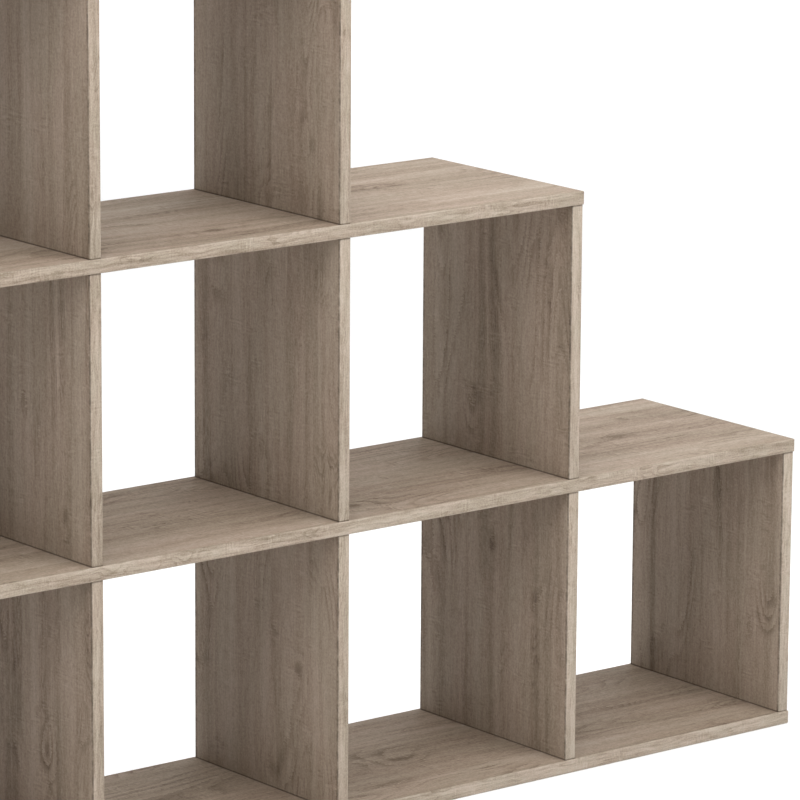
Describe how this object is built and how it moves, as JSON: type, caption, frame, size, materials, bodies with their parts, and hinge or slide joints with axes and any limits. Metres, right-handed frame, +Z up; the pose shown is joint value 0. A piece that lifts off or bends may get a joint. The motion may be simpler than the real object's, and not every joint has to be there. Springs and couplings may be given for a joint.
{
  "type": "stepped bookcase",
  "caption": "Open-backed bookcase of square compartments that step down like a staircase, in grey-beige oak laminate, with through boards and short uprights.",
  "frame": {"origin": "on the floor, under the middle of the bottom board", "axes": "+X to the right, where the steps go down, +Y to the back, +Z up"},
  "size_m": [1.398, 0.285, 1.4],
  "materials": {
    "laminated_board": "matt printed oak grain",
    "edge_band": "matt fine oak grain",
    "beech": "bare pressed beech"
  },
  "bodies": {
    "root": {"bottom_board": "laminated_board", "bottom_board_edge_bands": "edge_band", "flat_dowels": "beech", "row_1_divider_1": "laminated_board", "row_1_divider_1_edge_bands": "edge_band", "row_1_divider_2": "laminated_board", "row_1_divider_2_edge_bands": "edge_band", "row_1_divider_3": "laminated_board", "row_1_divider_3_edge_bands": "edge_band", "row_1_left_panel": "laminated_board", "row_1_left_panel_edge_bands": "edge_band", "row_1_right_panel": "laminated_board", "row_1_right_panel_edge_bands": "edge_band", "row_2_divider_1": "laminated_board", "row_2_divider_1_edge_bands": "edge_band", "row_2_divider_2": "laminated_board", "row_2_divider_2_edge_bands": "edge_band", "row_2_left_panel": "laminated_board", "row_2_left_panel_edge_bands": "edge_band", "row_2_right_panel": "laminated_board", "row_2_right_panel_edge_bands": "edge_band", "row_3_divider_1": "laminated_board", "row_3_divider_1_edge_bands": "edge_band", "row_3_left_panel": "laminated_board", "row_3_left_panel_edge_bands": "edge_band", "row_3_right_panel": "laminated_board", "row_3_right_panel_edge_bands": "edge_band", "row_4_left_panel": "laminated_board", "row_4_left_panel_edge_bands": "edge_band", "row_4_right_panel": "laminated_board", "row_4_right_panel_edge_bands": "edge_band", "shelf_1": "laminated_board", "shelf_1_edge_bands": "edge_band", "shelf_2": "laminated_board", "shelf_2_edge_bands": "edge_band", "shelf_3": "laminated_board", "shelf_3_edge_bands": "edge_band", "top_board": "laminated_board", "top_board_edge_bands": "edge_band"}
  },
  "joints": []
}
